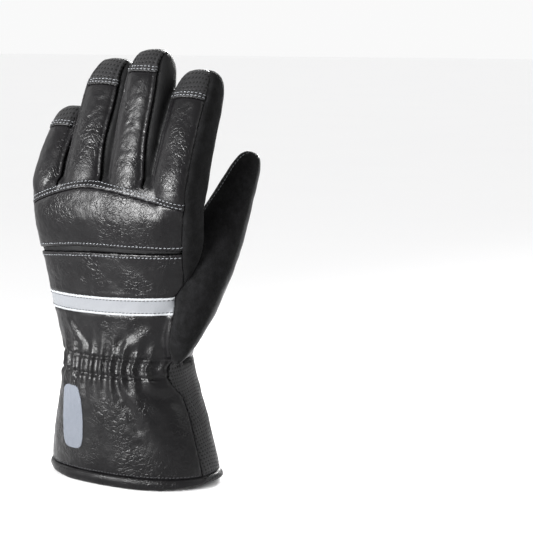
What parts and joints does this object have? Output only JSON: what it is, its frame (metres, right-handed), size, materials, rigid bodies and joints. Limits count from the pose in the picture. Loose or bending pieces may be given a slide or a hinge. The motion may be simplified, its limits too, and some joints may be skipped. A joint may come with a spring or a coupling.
{
  "type": "firefighter glove",
  "caption": "Left-hand leather protective glove with flared cuff, gathered wrist, knuckle flex slit, reflective strip and perforated palm.",
  "frame": {"origin": "on the ground under the middle of the whole glove", "axes": "+Z from the cuff up to the fingertips, +X to the thumb side, +Y to the palm side, so the back of the hand faces -Y"},
  "size_m": [0.1544, 0.09, 0.3024],
  "materials": {
    "back_leather": "semi-gloss grained leather",
    "smooth_leather": "smooth satin leather",
    "perforated_leather": "satin perforated leather",
    "suede": "matte suede",
    "fourchette": "matte black textile",
    "reflective_tape": "silver retroreflective"
  },
  "bodies": {
    "root": {"fourchette_index_middle": "fourchette", "fourchette_middle_ring": "fourchette", "fourchette_ring_little": "fourchette", "thumb_outer_leather": "smooth_leather", "thumb_pad_perforated": "perforated_leather", "thumb_back_suede": "suede", "side_panel_index": "suede", "side_strip_little": "suede", "finger_back_leather": "back_leather", "knuckle_leather": "back_leather", "flex_gusset": "fourchette", "hand_back_leather": "back_leather", "cuff_back_leather": "back_leather", "palm_perforated": "perforated_leather", "reflective_strip": "reflective_tape", "hem_back": "back_leather", "hem_palm": "perforated_leather"}
  },
  "joints": []
}
